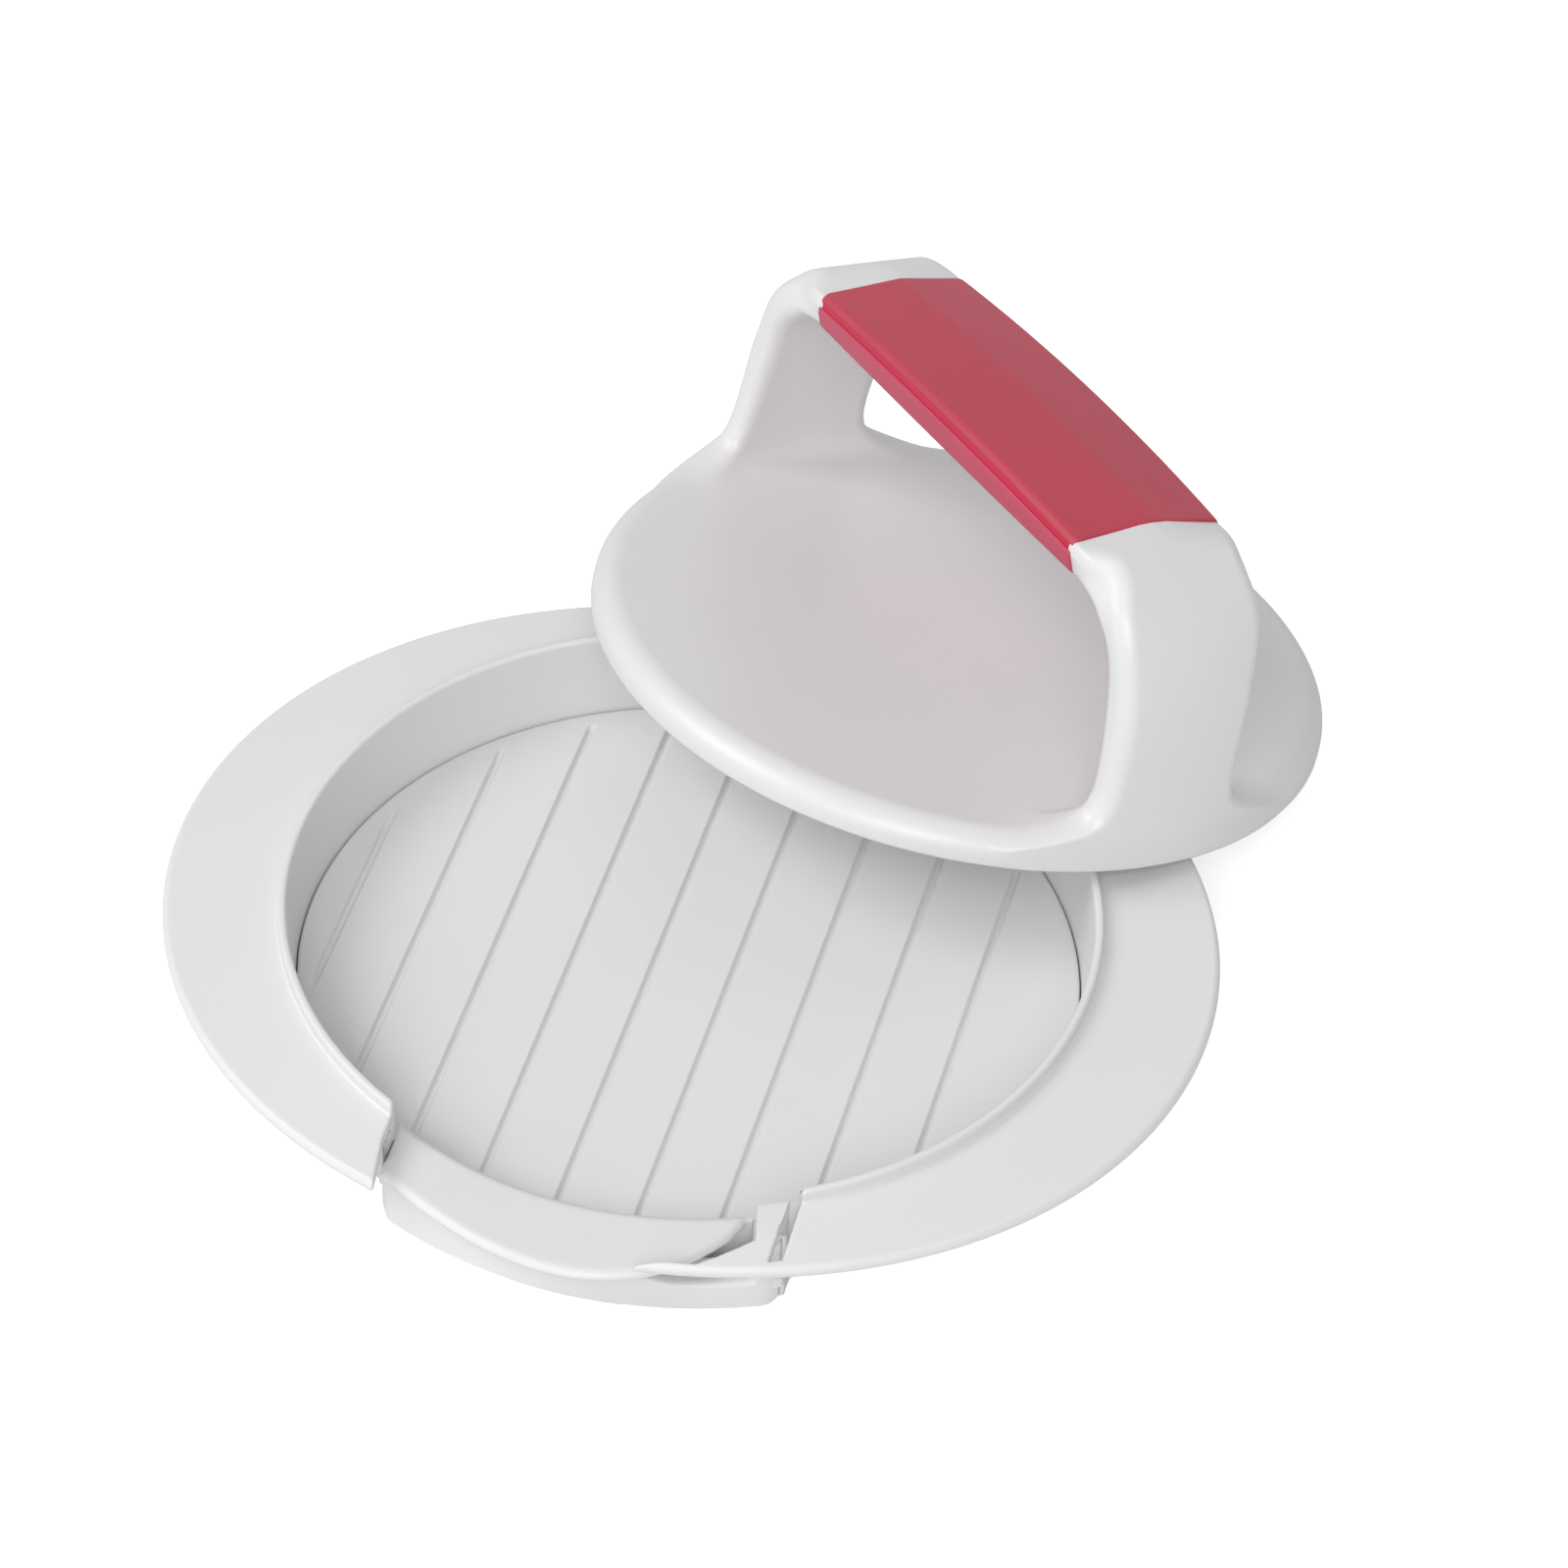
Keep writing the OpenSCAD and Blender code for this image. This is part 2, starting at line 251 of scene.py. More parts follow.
def mouldedPlastic(name, colour, roughness, grain=0.012, mottle=0.02):
    # moulded plastic: a very slight mottle in the colour, fine texture in the gloss and the surface
    material = bpy.data.materials.new(name)
    material.use_nodes = True
    nodes, links = material.node_tree.nodes, material.node_tree.links
    shader = nodes["Principled BSDF"]
    place = nodes.new("ShaderNodeTexCoord")
    cloud = nodes.new("ShaderNodeTexNoise")
    cloud.inputs["Scale"].default_value = plastic["mottleScale"]
    cloud.inputs["Detail"].default_value = plastic["mottleDetail"]
    tint = nodes.new("ShaderNodeMix")
    tint.data_type = "RGBA"
    tint.inputs["A"].default_value = (*[c * (1 - mottle) for c in colour], 1)
    tint.inputs["B"].default_value = (*[min(1, c * (1 + mottle)) for c in colour], 1)
    links.new(place.outputs["Object"], cloud.inputs["Vector"])
    links.new(cloud.outputs["Fac"], tint.inputs["Factor"])
    links.new(tint.outputs["Result"], shader.inputs["Base Color"])
    fine = nodes.new("ShaderNodeTexNoise")
    fine.inputs["Scale"].default_value = plastic["fineScale"]
    fine.inputs["Detail"].default_value = plastic["fineDetail"]
    links.new(place.outputs["Object"], fine.inputs["Vector"])
    gloss = nodes.new("ShaderNodeMapRange")
    gloss.inputs["To Min"].default_value = roughness - plastic["glossRange"]
    gloss.inputs["To Max"].default_value = roughness + plastic["glossRange"]
    links.new(fine.outputs["Fac"], gloss.inputs["Value"])
    links.new(gloss.outputs["Result"], shader.inputs["Roughness"])
    bump = nodes.new("ShaderNodeBump")
    bump.inputs["Strength"].default_value = plastic["bumpStrength"]
    bump.inputs["Distance"].default_value = grain * mm
    links.new(fine.outputs["Fac"], bump.inputs["Height"])
    links.new(bump.outputs["Normal"], shader.inputs["Normal"])
    return material


finishes = {
    "white": (0.745, 0.745, 0.745),
    "pressWhite": (0.735, 0.735, 0.735),
    "gripTop": (0.455, 0.034, 0.066),
    "gripBand": (0.50, 0.058, 0.11),
    # the seam's darker crimson is painted shade: it stands in for the shade in the recess between the band
    # and the cover
    "paintedShadeSeam": (0.50, 0.012, 0.05),
    "whiteRough": 0.42,
    "pressRough": 0.32,
    "gripRough": 0.48,
    "gripGrain": 0.03,
    "gripTopMottle": 0.08,
    "gripMottle": 0.06,
}
whitePlastic = mouldedPlastic("whitePlastic", finishes["white"], finishes["whiteRough"])
pressPlastic = mouldedPlastic("pressPlastic", finishes["pressWhite"], finishes["pressRough"])
gripLook = (finishes["gripRough"], finishes["gripGrain"])
gripTopRed = mouldedPlastic("gripTopRed", finishes["gripTop"], *gripLook, finishes["gripTopMottle"])
gripBandRed = mouldedPlastic("gripBandRed", finishes["gripBand"], *gripLook, finishes["gripMottle"])
# painted shade: the darker crimson of the seam strip stands in for the shade between band and cover
paintedShadeSeamRed = mouldedPlastic("paintedShadeSeamRed", finishes["paintedShadeSeam"], *gripLook, finishes["gripMottle"])


dish = {
    # cavity wall and floor
    "rimR": 56.1, "rimZ": 16.2, "rimRound": 0.6, "rimFoot": 0.25,
    "floorR": 54.9, "floorZ": 1.0, "wallR": 57.3, "wallRound": 0.5,
    # oval flange: mean reach, oval, height at the wall and at its edge, thickness
    "flangeR": 69.9, "flangeOval": 4.1, "flangeIn": 14.4, "flangeOut": 12.9,
    "flangeT": 2.0, "flangeRound": 0.3,
    # notch at the front, and the web below the tab, which drops over a span of x
    "notchLeft": -27.65, "notchZ": 7.4, "notchR": 56.5,
    "webT": 1.8, "webDrop": 2.6, "webFrom": 4.0, "webSpan": 10.0, "webGap": 0.3,
    # how far the notch stops short of the flange's edge, by x
    "lipX": (7, 9, 14), "lip": (-3, 0, 1.1),
    # apron under the notch, and its closed ends
    "apronR": 61.8, "apronT": 1.9, "apronHalf": 28.0, "apronRound": 2.6, "endGap": 1.4,
    "endTop": 12.0, "endTuck": 1.0,
    # land beside the notch, and the slot in it
    "landX": 23.0, "landMid": 25.2, "landHalf": 2.9, "landZ": 13.85, "landR": 62.0,
    "slotLeft": 27.2, "slotW": 1.6, "slotR": 65.6, "slotFrom": 56.3,
    "slotZ": 2.5, "slotStep": 59.9, "slotStepZ": 11.5,
    "edge": 0.5,
    # part of the dish that holds all of these: y below the first, x within the second
    "frontY": -30.0, "frontX": 40.0,
}
# plan of the notch; its right side is the edge of the strip that runs on below the tab
stripEdge = curvePoints((7, -68.9), (13.5, -67), (19, -62.6), (24.6, -56.8))
notchOutline = np.array([(-27.65, -30), (-27.65, -54), (-26.0, -66), (-26.0, -82), (6, -82), *stripEdge,
                         (23.6, -52.4), (23.0, -50), (23.0, -30)])


def flangeReach(turn):
    # mean radius plus the oval times the cosine of twice the turn
    return dish["flangeR"] + dish["flangeOval"] * np.cos(2 * turn)


def dishField(x, y, z):
    # wall with its raised rim and floor, turned round the axis, joined to a flange whose reach follows
    # the oval; the notch, its land and its slot are taken away from it
    r, turn = np.hypot(x, y), np.arctan2(y, x)
    # wall: a cone inside, a cylinder outside, cut level at the foot and the rim
    slope = (dish["rimR"] - dish["floorR"]) / (dish["rimZ"] - dish["floorZ"])
    inner = dish["floorR"] + slope * (z - dish["floorZ"]) - r
    wall = smoothMax(inner, r - dish["wallR"], dish["wallRound"])
    wall = smoothMax(wall, np.maximum(-z, z - dish["rimZ"]), dish["rimRound"])
    floorEdge = r - dish["wallR"] + dish["wallRound"]
    floor = smoothMax(np.maximum(-z, z - dish["floorZ"]), floorEdge, dish["wallRound"])
    # flange: a plate that falls evenly outwards and ends in a half round
    reach = flangeReach(turn)
    half = dish["flangeT"] / 2
    fall = np.clip((r - dish["wallR"]) / (reach - dish["wallR"]), 0, 1)
    mid = dish["flangeIn"] - half - (dish["flangeIn"] - dish["flangeOut"]) * fall
    over = np.maximum(r - (reach - half), 0)
    flange = smoothMax(np.hypot(over, z - mid) - half, dish["rimR"] - r, dish["flangeRound"])
    body = np.minimum(smoothMin(wall, flange, dish["rimFoot"]), floor)

    front = (y < dish["frontY"]) & (np.abs(x) < dish["frontX"])
    fx, fy, fz, fr = x[front], y[front], z[front], r[front]
    solid = body[front]
    side = np.abs(fx) - dish["apronHalf"]
    # apron: a thin cylinder shell up to the flange, its corners rounded
    halfT = dish["apronT"] / 2
    skin = np.maximum(np.abs(fr - dish["apronR"] + halfT) - halfT, -fz)
    skin = smoothMax(np.maximum(skin, fz - dish["flangeOut"] + half), side, dish["apronRound"])
    # web: a plate between wall and apron that drops towards the right
    webZ = dish["notchZ"] - dish["webDrop"] * np.clip((fx - dish["webFrom"]) / dish["webSpan"], 0, 1)
    webLevel = np.abs(fz - webZ + dish["webT"] / 2) - dish["webT"] / 2
    web = np.maximum(fr - dish["apronR"] + dish["webGap"], dish["notchR"] - fr)
    web = np.maximum(np.maximum(web, side), webLevel)
    # ends: an upright plate at each side, from the wall to the apron
    ends = np.maximum(np.abs(side + halfT) - halfT, -fz)
    endSpan = np.maximum(dish["wallR"] - dish["endTuck"] - fr, fz - dish["endTop"])
    ends = np.maximum(np.maximum(ends, fr - dish["apronR"] + dish["endGap"]), endSpan)
    solid = smoothMin(solid, np.minimum(np.minimum(skin, web), ends), dish["edge"])
    # taken away: the notch above the web, the seat of the upstand, the land and the slot
    lip = np.interp(fx, dish["lipX"], dish["lip"])
    notch = np.maximum(webZ - fz, fr - reach[front] + lip)
    notch = np.maximum(outlineDistance(notchOutline, fx, fy), notch)
    seat = np.maximum(np.maximum(dish["notchLeft"] - fx, fx - dish["landX"]), fr - dish["notchR"])
    seat = np.maximum(seat, dish["floorZ"] - fz)
    land = np.maximum(dish["landZ"] - fz, fr - dish["landR"])
    land = np.maximum(np.abs(fx - dish["landMid"]) - dish["landHalf"], land)
    slot = np.abs(fx - dish["slotLeft"] - dish["slotW"] / 2) - dish["slotW"] / 2
    low = np.where(fr > dish["slotStep"], dish["slotStepZ"], dish["slotZ"])
    slot = np.maximum(np.maximum(slot, low - fz), np.maximum(fr - dish["slotR"], dish["slotFrom"] - fr))
    gone = np.minimum(np.minimum(notch, seat), np.minimum(land, slot))
    body[front] = smoothMax(solid, -gone, dish["edge"])
    return np.maximum(body, -z)


def dishPlace(ring, turn, z):
    # rings past the start spread with the oval, so that one ring is the flange's outline: the start
    # plus the way beyond it times the reach over the mean reach, both less the start
    start, nominal = 60.0, dish["flangeR"]
    spread = (flangeReach(turn) - start) / (nominal - start)
    r = np.where(ring > start, start + (ring - start) * spread, ring)
    return polarPlace(r, turn, z)


turnDegrees = np.concatenate([np.arange(-125, -55, 0.3), np.arange(-55, 235, 1.45)])  # finer at the front
dishAxes = (  # radius, turn and height
    steps(0, (50, 6.25), (54, 1.0), (58.8, 0.3), (60, 0.4), (67, 1.0), (71.5, 0.25)),
    np.radians(turnDegrees),
    steps(-0.75, (1.65, 0.3), (9, 0.45), (17, 0.27)),
)
dishBody = newPiece("dishBody", *levelSurface(dishAxes, dishPlace, dishField, closedTurn=True))
finishPiece(dishBody, "base", "dish", whitePlastic)


tray = {
    "r": 54.8, "bottom": 1.0, "top": 3.1, "rimDrop": 0.25, "rimReach": 0.4,
    # sunk lines: sideways shift, pitch, number, width, depth, softness, and how far they stop short
    "lineShift": -4.93, "linePitch": 11.117, "lineCount": 9, "lineW": 0.9, "lineD": 0.65,
    "lineSoft": 0.2, "lineEnd": 2.6, "lineEndSoft": 0.6, "lineClear": 0.95, "shortChord": 4.2,
    # upstand, thinner at its right end, and the tab on it
    "inR": 53.8, "outR": 56.2, "endThin": 1.6, "thinFrom": 15.0, "thinSpan": 3.0,
    "upstandDrop": 0.8, "upstandLift": 0.3,
    "tabTop": 9.8, "tabT": 2.0, "tabLeft": -27.63, "tabRight": 22.5, "tabBack": -42.0,
    "edge": 1.5, "planRound": 0.5, "blend": 0.6,
}
# plan of the tab, with its front edge as two curves
tabFront = np.concatenate([
    curvePoints((-27.63, -56.2), (-18, -62.2), (-9, -66.4), (0, -66.4), 16),
    curvePoints((0, -66.4), (10.5, -66.3), (16.2, -60.6), (20.6, -53.6), 16)[1:],
])
tabOutline = np.array([(-27.63, -30), *tabFront, (21.5, -51.0), (21.5, -30)])


def trayPlate():
    # columns run along the lines and rows across them; each column is a loop, over the top of the
    # plate and back under it, and the top sinks at each line by a soft-edged trough
    middle = (tray["lineCount"] - 1) / 2
    centres = tray["lineShift"] + tray["linePitch"] * (np.arange(tray["lineCount"]) - middle)
    across = np.array([-0.8, -0.55, -0.42, -0.3, -0.12, 0.12, 0.3, 0.42, 0.55, 0.8])  # beside a line
    columns = tray["r"] * np.sin(np.radians(np.arange(-90, 90.5, 1.5)))
    columns = columns[np.abs(columns[:, None] - centres).min(axis=1) > tray["lineClear"]]
    x = np.sort(np.concatenate([columns, (centres[:, None] + across).ravel()]))[:, None]
    chord = np.sqrt(np.maximum(tray["r"] ** 2 - x * x, 0))
    margin = np.array([0, 0.1, 0.25, 0.5, 1.0, 1.9, 2.3, 2.6, 2.9, 3.3, 4.0])
    margin = margin * np.minimum(1, chord / tray["shortChord"])  # squeezed in short columns
    inside = (chord - margin[:, -1:]) * np.linspace(-1, 1, 27)[1:-1]
    y = np.concatenate([margin - chord, inside, (chord - margin)[:, ::-1]], axis=1)
    x = np.broadcast_to(x, y.shape)
    aside = np.abs(x[..., None] - centres).min(axis=-1)
    inset = tray["r"] - np.hypot(x, y)
    trough = np.clip((tray["lineW"] / 2 - aside) / tray["lineSoft"] + 0.5, 0, 1)
    trough = trough * np.clip((inset - tray["lineEnd"]) / tray["lineEndSoft"] + 0.5, 0, 1)
    top = tray["top"] - tray["lineD"] * smoothStep(trough)
    top = top - tray["rimDrop"] * np.maximum(1 - np.abs(inset) / tray["rimReach"], 0) ** 2
    over = np.stack([x, y, top], axis=-1)
    under = np.stack([x, y, np.full_like(x, tray["bottom"])], axis=-1)[:, ::-1]
    loop = np.concatenate([over, under], axis=1)
    return loop.reshape(-1, 3), loopFaces(*loop.shape[:2])


def tabField(x, y, z):
    # upstand along the front of the plate, and the tab at its top with a rounded edge
    r = np.hypot(x, y)
    side = np.maximum(tray["tabLeft"] - x, x - tray["tabRight"])
    outR = tray["outR"] - tray["endThin"] * np.clip((x - tray["thinFrom"]) / tray["thinSpan"], 0, 1)
    upstand = np.maximum(np.maximum(tray["inR"] - r, r - outR), side)
    upstand = np.maximum(upstand, tray["bottom"] + tray["upstandLift"] - z)
    upstand = np.maximum(upstand, z - tray["tabTop"] + tray["upstandDrop"])
    plan = smoothMax(outlineDistance(tabOutline, x, y), tray["inR"] - r, tray["planRound"])
    half = tray["tabT"] / 2
    plate = smoothMax(plan, np.abs(z - tray["tabTop"] + half) - half, tray["edge"])
    return np.maximum(smoothMin(upstand, plate, tray["blend"]), y - tray["tabBack"])


# x, y and height
tabAxes = (steps(-29, (24, 0.42)), steps(-69, (-41, 0.42)), steps(0.8, (7.4, 0.6), (10.4, 0.25)))
platePoints, plateFaces = trayPlate()
trayBody = newPiece("trayPlate", platePoints, plateFaces)
trayTab = newPiece("trayTab", *levelSurface(tabAxes, flatPlace, tabField))
finishPiece(trayBody, "tray", "lift_tray", whitePlastic)
finishPiece(trayTab, "tray", "lift_tray", whitePlastic)


press = {
    # disc: radius, thickness, rounding of its edge, and the hollow below
    "r": 54.64, "t": 5.0, "round": 4.0, "skirt": 2.2, "recess": 3.2, "skirtRound": 0.4, "footRound": 0.6,
    # top of the handle and how it falls to the sides
    "roof": 44.9, "crown": 1.3, "endCrown": 0.5, "crownHalf": 13.3, "crownFrom": 34.0, "crownSpan": 8.0,
    "roofRound": 1.5,
    # where the legs turn into the bar inside the grip, and how far the bar reaches in
    "barFrom": 42.0, "barSpan": 8.0, "gripEnd": 34.0, "tuck": 1.0,
    # legs: extra half width near the grip at front and back, rounding of their edges, blend into the
    # disc, bend to the disc's plan, which fades towards the top, and the least distance from the middle
    "endWidth": 2.4, "backWidth": 1.2, "wideFrom": 44.0, "wideSpan": 10.0, "legEdge": 2.42, "fillet": 4.5,
    "plan": 118.0, "bendTop": 30.0, "bendSpan": 14.0, "legFrom": 24.0,
}
lean = {"tilt": 13.18, "dir": 60.1, "turn": -105.3, "x": 22.294, "y": 64.85, "z": 12.499}  # degrees and mm

# side view of a leg as distance from the middle and height, then its half width at each height
legOuter = smoothLine([(54.6, 2), (54.4, 5), (53.75, 15), (52.75, 25), (49.9, 34), (45.3, 39.8),
                       (41.8, 42.7), (37.5, 44.5), (34, 44.8), (30, 44.9)])
legInner = smoothLine([(30, 37.9), (34, 37.4), (37.5, 36.6), (41.2, 34.9),
                       (45.1, 31), (46.74, 25), (48.7, 12), (49.1, 2)])
legSide = np.concatenate([legOuter, legInner])
legWidth = smoothLine([(22, 3.2), (13.94, 7), (11.8, 10), (11.2, 15), (11.35, 25), (12.3, 36), (11.6, 40),
                       (10.9, 43), (10.9, 47)])
# section of the bar inside the grip: place across, from front to back, and height
barSection = [(-11.3, 38.4), (10.1, 38.4), (11.1, 41.0), (11.1, 42.0), (2.2, 43.36), (0, 43.5),
              (-2.2, 43.36), (-12.35, 42.0), (-12.35, 41.0)]
barRound = 0.8


def legField(x, y, z):
    # a leg is its side view, bent to the plan of the disc, narrowed to its width at each height
    # with full round edges; towards the grip it turns into the grip's own section
    along, across = np.abs(x), np.abs(y)
    high = np.clip((z - press["bendTop"]) / press["bendSpan"], 0, 1)
    side = outlineDistance(legSide, along + across ** 2 / press["plan"] * (1 - high), z)
    width = np.interp(z, legWidth[:, 1], legWidth[:, 0])
    close = np.clip((press["wideFrom"] - along) / press["wideSpan"], 0, 1) ** 2
    width = width + np.where(y > 0, press["backWidth"], press["endWidth"]) * close
    crown = (press["crown"] + press["endCrown"] * close) * (across / press["crownHalf"]) ** 2
    roof = z - press["roof"] + crown * np.clip((z - press["crownFrom"]) / press["crownSpan"], 0, 1)
    edge = press["legEdge"]
    leg = np.hypot(np.maximum(side + edge, 0), np.maximum(across - width + edge, 0)) - edge
    leg = smoothMax(leg, roof, press["roofRound"])
    match = smoothStep((press["barFrom"] - along) / press["barSpan"])
    leg = leg + (outlineDistance(barSection, y, z) - barRound - leg) * match
    return np.maximum(leg, press["gripEnd"] - press["tuck"] - along)


def pressField(x, y, z):
    # disc with a rounded edge and a hollow underside, and the legs blended into its top
    r = np.hypot(x, y)
    out, up = r - press["r"], z - press["t"]
    edge = np.hypot(np.maximum(out + press["round"], 0), np.maximum(up + press["round"], 0))
    disc = np.maximum(edge - press["round"], np.maximum(out, up))
    leg = np.full(np.shape(x), 20.0)  # far enough away to leave the disc as it is
    near = np.abs(x) > press["legFrom"]
    leg[near] = legField(x[near], y[near], z[near])
    body = smoothMin(disc, leg, press["fillet"])
    body = smoothMax(smoothMax(body, out, press["skirtRound"]), -z, press["footRound"])
    hollow = np.maximum(out + press["skirt"], z - press["recess"])
    return smoothMax(body, -hollow, press["skirtRound"])


def leanMove():
    # turned about its axis, tilted, turned to the side it leans to, then put in place
    turn = Matrix.Rotation(math.radians(lean["dir"]), 3, "Z")
    turn = turn @ Matrix.Rotation(math.radians(lean["tilt"]), 3, "Y")
    turn = turn @ Matrix.Rotation(math.radians(lean["turn"]), 3, "Z")
    return np.array(turn), np.array([lean["x"], lean["y"], lean["z"]])


pressMove = leanMove()
legTurns = np.concatenate([np.arange(-45, 45, 0.7), np.arange(45, 135, 2.5)])  # finer at the legs
pressAxes = (  # radius, turn and height
    steps(0, (32, 4.0), (55.2, 0.55)),
    np.radians(np.concatenate([legTurns, legTurns + 180])),
    steps(-0.5, (6, 0.4), (46, 0.6)),
)
pressSurface = levelSurface(pressAxes, polarPlace, pressField, closedTurn=True)
pressBody = newPiece("pressBody", *pressSurface, move=pressMove)
finishPiece(pressBody, "press", "press_shell", pressPlastic)


grip = {
    "half": 34.0, "width": 13.4, "bulge": 0.5, "rise": 1.2, "lowRise": 0.1, "seam": 42.2, "low": 37.5,
    "endRound": 0.45, "stations": 81,
}


def gripSweep(section):
    # a closed section carried along the grip; it widens towards mid span, its top rises there more
    # than its lower edge, and it draws in over the last bit at each end so that the ends are rounded
    section = np.asarray(section, float)
    endRound, stations = grip["endRound"], grip["stations"]
    s = np.sin(np.linspace(-math.pi / 2, math.pi / 2, stations))
    x = grip["half"] * s
    fromEnd = grip["half"] - np.abs(x)
    inset = endRound - np.sqrt(np.maximum(endRound ** 2 - np.maximum(endRound - fromEnd, 0) ** 2, 0))
    middle = section.mean(axis=0)
    share = 1 - (x / grip["half"]) ** 2
    wide = 1 + share * grip["bulge"] / grip["width"]
    reach = np.linalg.norm(section - middle, axis=1)
    shrink = 1 - inset[:, None] / reach
    y = middle[0] + (section[:, 0] - middle[0]) * shrink
    z = middle[1] + (section[:, 1] - middle[1]) * shrink
    high = np.clip((z - grip["low"]) / (grip["seam"] - grip["low"]), 0, 1)
    z = z + (grip["lowRise"] + (grip["rise"] - grip["lowRise"]) * high) * share[:, None]
    points = np.stack([np.broadcast_to(x[:, None], y.shape), y * wide[:, None], z], axis=-1)
    return points.reshape(-1, 3), loopFaces(stations, len(section))


def roundedSection(corners, radius, perCorner=6):
    # each corner of the outline becomes an arc-like cubic over the given length of its sides
    corners = np.asarray(corners, float)
    before, after = np.roll(corners, 1, axis=0), np.roll(corners, -1, axis=0)
    parts = []
    for p, a, b, size in zip(corners, before, after, radius):
        u, v = (a - p) / np.linalg.norm(a - p), (b - p) / np.linalg.norm(b - p)
        nearEnd = size * 0.4
        parts.append(curvePoints(p + u * size, p + u * nearEnd, p + v * nearEnd, p + v * size, perCorner))
    return np.concatenate(parts)


# sections of the grip as place across and height, each with the rounding of its corners
coverSection = roundedSection(
    [(-13.3, 42.2), (12.1, 42.2), (11.4, 43.2), (0, 44.6), (-12.6, 43.2)], [0.25, 0.25, 0.5, 0.8, 0.5])
bandSection = roundedSection(
    [(-12.3, 37.5), (11.1, 37.5), (12.1, 40.4), (12.1, 41.2), (-13.4, 41.2), (-13.4, 40.4)],
    [1.0, 1.0, 0.5, 0.25, 0.25, 0.5])
# the seam strip between band and cover carries painted shade, a darker crimson for the shade in that
# recess
seamSection = roundedSection([(-13.1, 41.1), (11.8, 41.1), (11.8, 42.3), (-13.1, 42.3)], [0.1] * 4)
gripCover = newPiece("gripCover", *gripSweep(coverSection), move=pressMove)
gripBand = newPiece("gripBand", *gripSweep(bandSection), move=pressMove)
paintedShadeSeam = newPiece("paintedShadeSeam", *gripSweep(seamSection), move=pressMove)
finishPiece(gripCover, "press", "grip_cover", gripTopRed)
finishPiece(gripBand, "press", "grip_underside", gripBandRed)
finishPiece(paintedShadeSeam, "press", "grip_underside", paintedShadeSeamRed)


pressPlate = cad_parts["press_plate"]  # hidden below the disc, kept as it is
pressPlate.data.materials.clear()
pressPlate.data.materials.append(whitePlastic)
print("kept", pressPlate.name)


stage = {
    "floorHalf": 3.0, "floorZ": -0.0002, "floorColour": 0.86, "floorRough": 0.9, "floorGlow": 0.6,
    "keyPlace": (-2.0, -0.78, 2.25), "keySize": 2.0, "keyPower": 41.0,
    "frontPlace": (0.0, -2.4, 1.3), "frontSize": 2.0, "frontPower": 12.5,
    "eyePlace": (0.52, -2.15, 2.03), "eyeSize": 1.6, "eyePower": 26.0,
    "fill": 0.43, "fillColour": (0.985, 0.98, 1.0),
}


def makeFloor():
    # a pale floor that only the camera sees glow, so that it reads as white but keeps the shadow
    mesh = bpy.data.meshes.new("floor")
    half = stage["floorHalf"]
    corners = np.array([(-1, -1), (1, -1), (1, 1), (-1, 1)]) * half
    mesh.from_pydata([(x, y, stage["floorZ"]) for x, y in corners], [], [(0, 1, 2, 3)])
    floor = bpy.data.objects.new("floor", mesh)
    bpy.context.scene.collection.objects.link(floor)
    material = bpy.data.materials.new("floorPale")
    material.use_nodes = True
    nodes, links = material.node_tree.nodes, material.node_tree.links
    shader = nodes["Principled BSDF"]
    shader.inputs["Base Color"].default_value = (stage["floorColour"],) * 3 + (1,)
    shader.inputs["Roughness"].default_value = stage["floorRough"]
    shader.inputs["Specular IOR Level"].default_value = 0
    path = nodes.new("ShaderNodeLightPath")
    glow = nodes.new("ShaderNodeEmission")
    glow.inputs["Strength"].default_value = stage["floorGlow"]
    both = nodes.new("ShaderNodeAddShader")
    pick = nodes.new("ShaderNodeMixShader")
    links.new(shader.outputs[0], both.inputs[0])
    links.new(glow.outputs[0], both.inputs[1])
    links.new(path.outputs["Is Camera Ray"], pick.inputs[0])
    links.new(shader.outputs[0], pick.inputs[1])
    links.new(both.outputs[0], pick.inputs[2])
    links.new(pick.outputs[0], nodes["Material Output"].inputs["Surface"])
    mesh.materials.append(material)


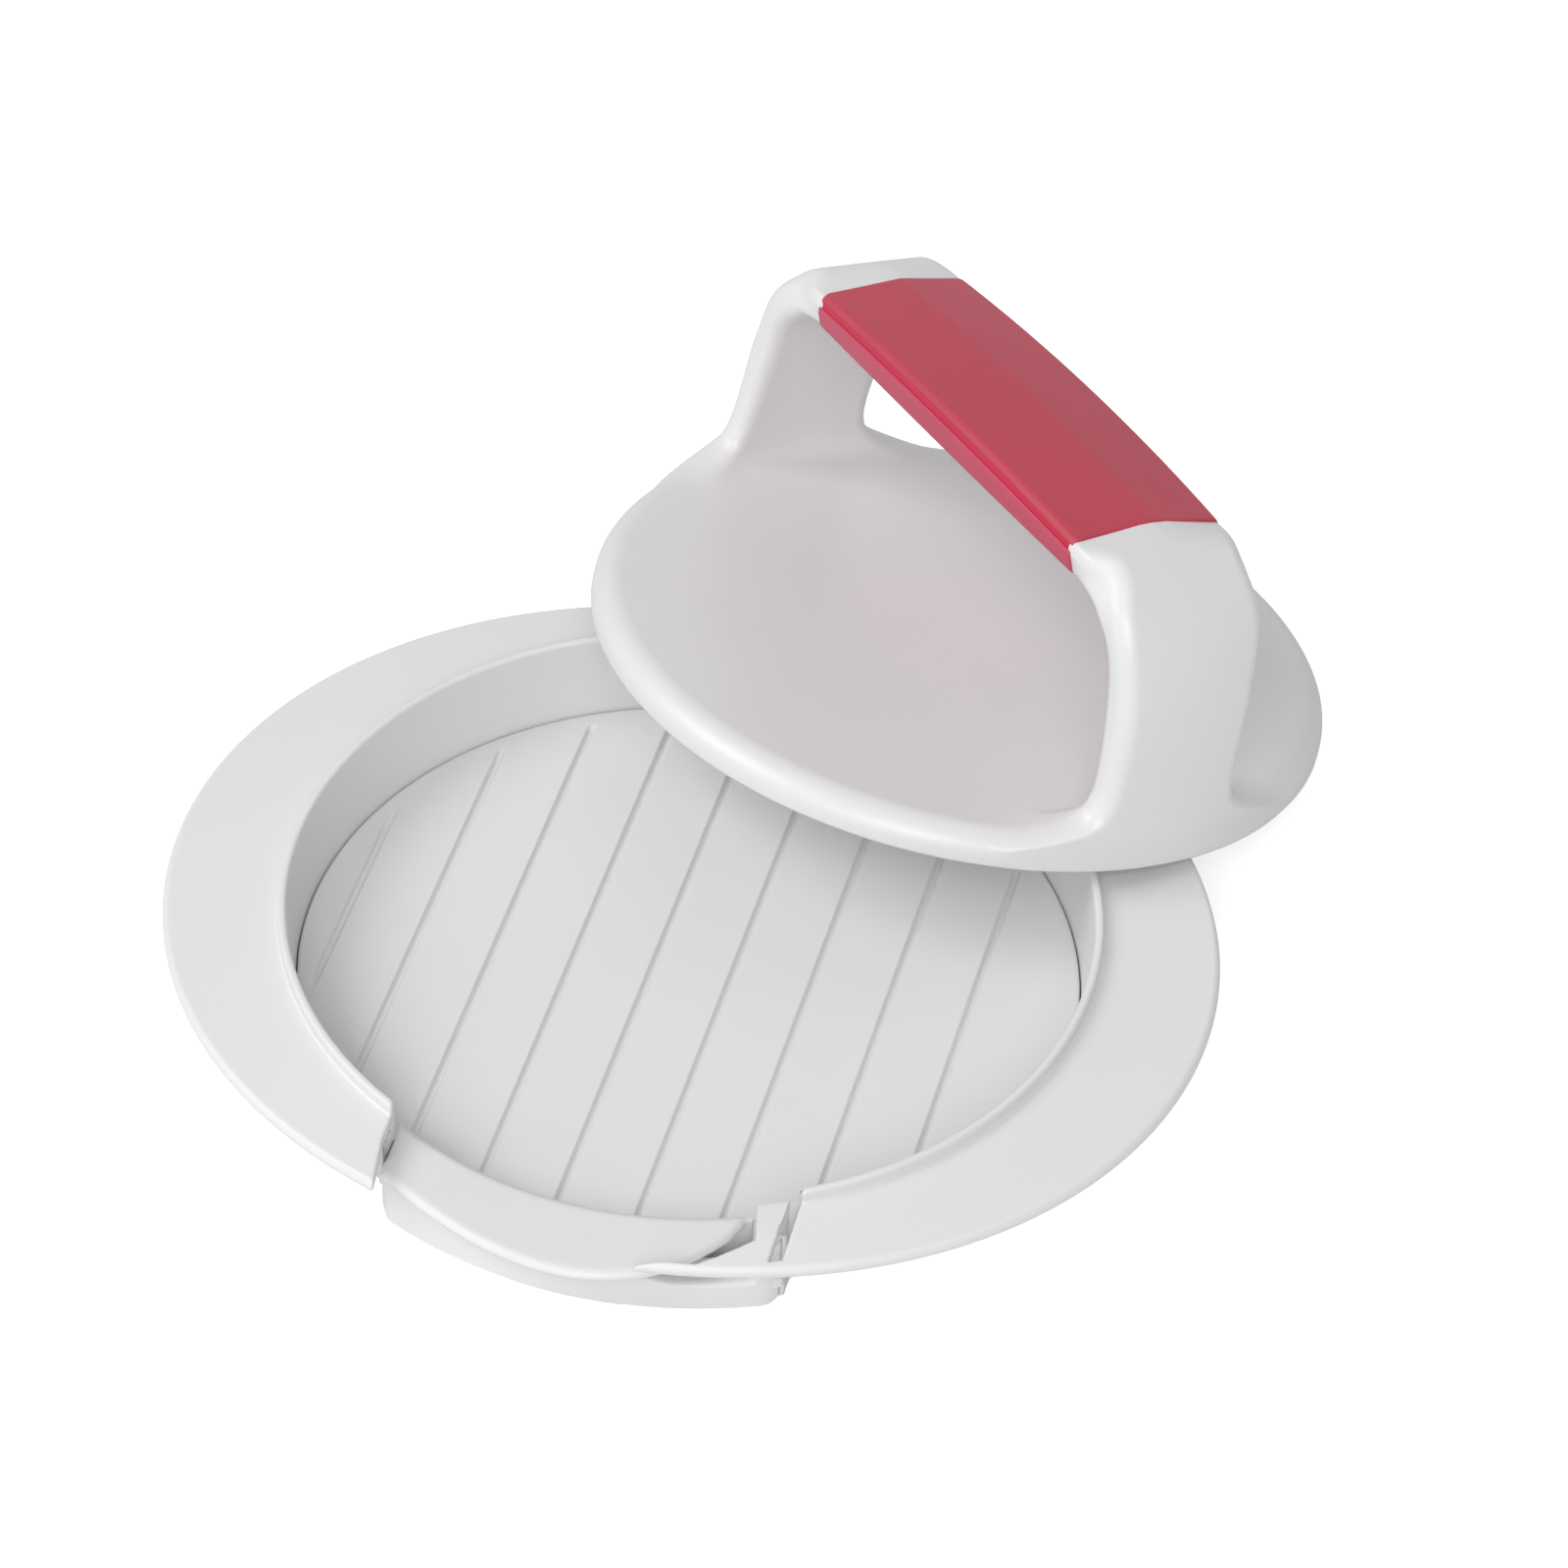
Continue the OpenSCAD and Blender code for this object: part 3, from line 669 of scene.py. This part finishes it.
def makeWorld():
    # dim light from all round; camera, glossy and transmission rays see plain white
    world = bpy.data.worlds.new("studio")
    bpy.context.scene.world = world
    world.use_nodes = True
    nodes, links = world.node_tree.nodes, world.node_tree.links
    light = nodes["Background"]
    light.inputs["Color"].default_value = (*stage["fillColour"], 1)
    light.inputs["Strength"].default_value = stage["fill"]
    seen = nodes.new("ShaderNodeBackground")
    seen.inputs["Color"].default_value = (1, 1, 1, 1)
    seen.inputs["Strength"].default_value = 1
    path = nodes.new("ShaderNodeLightPath")
    direct, clear = nodes.new("ShaderNodeMath"), nodes.new("ShaderNodeMath")
    direct.operation = clear.operation = "MAXIMUM"
    mix = nodes.new("ShaderNodeMixShader")
    links.new(path.outputs["Is Camera Ray"], direct.inputs[0])
    links.new(path.outputs["Is Transmission Ray"], direct.inputs[1])
    links.new(direct.outputs[0], clear.inputs[0])
    links.new(path.outputs["Is Glossy Ray"], clear.inputs[1])
    links.new(clear.outputs[0], mix.inputs[0])
    links.new(light.outputs[0], mix.inputs[1])
    links.new(seen.outputs[0], mix.inputs[2])
    links.new(mix.outputs[0], nodes["World Output"].inputs["Surface"])


def makeLamp(name):
    # a round lamp that faces the middle of the object
    lamp = bpy.data.lights.new(name, "AREA")
    lamp.shape = "DISK"
    lamp.size = stage[name + "Size"]
    lamp.energy = stage[name + "Power"]
    holder = bpy.data.objects.new(name, lamp)
    place = Vector(stage[name + "Place"])
    holder.location = place
    holder.rotation_euler = (-place).to_track_quat("-Z", "Y").to_euler()
    bpy.context.scene.collection.objects.link(holder)


view = {
    "place": (0.144295, -0.574026, 0.582507), "lens": 135.56, "sensor": 36,
    "right": (0.96568507, 0.2570565, 0.03707152), "up": (-0.20050061, 0.64714695, 0.73552725),
    "ahead": (-0.16508134, 0.71772055, -0.67648013),
}


def makeCamera():
    # the three directions are the columns of its turn, the last one reversed
    data = bpy.data.cameras.new("camera")
    data.lens = view["lens"]
    data.sensor_width = view["sensor"]
    camera = bpy.data.objects.new("camera", data)
    turn = Matrix((view["right"], view["up"], [-v for v in view["ahead"]])).transposed().to_4x4()
    camera.matrix_world = Matrix.Translation(view["place"]) @ turn
    bpy.context.scene.collection.objects.link(camera)
    bpy.context.scene.camera = camera


makeFloor()
makeWorld()
for lampName in ("key", "front", "eye"):
    makeLamp(lampName)
makeCamera()
bpy.context.scene.view_settings.view_transform = "Standard"
print("made the floor, the world, three lamps and the camera")
